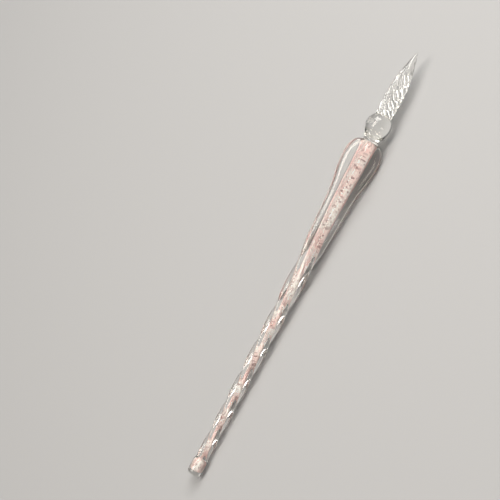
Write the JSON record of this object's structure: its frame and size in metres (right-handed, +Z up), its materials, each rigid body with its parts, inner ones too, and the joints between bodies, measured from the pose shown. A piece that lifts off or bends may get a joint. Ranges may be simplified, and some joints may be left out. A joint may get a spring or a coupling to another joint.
{
  "type": "glass dip pen",
  "caption": "Glass dip pen with a spirally fluted nib, a round grip ball and a twisted lobed clear handle over a pink speckled core.",
  "frame": {"origin": "middle of the bounding box at the surface the pen lies on", "axes": "+X along the pen towards the point of the nib, +Z up, so the pen lies on two shoulder lobes and its tail button"},
  "size_m": [0.175, 0.011, 0.0111],
  "materials": {
    "clear_glass": "polished, clear, faintly grey-green",
    "pink_pigment": "opaque pale pink with fine dark and sparkling specks"
  },
  "bodies": {
    "root": {"nib": "clear_glass", "grip_ball": "clear_glass", "neck_collar": "clear_glass", "core_tube": "clear_glass", "pigment_core": "pink_pigment", "lobe_front": "clear_glass", "lobe_right": "clear_glass", "lobe_back": "clear_glass", "lobe_left": "clear_glass", "tail_button": "clear_glass"}
  },
  "joints": []
}
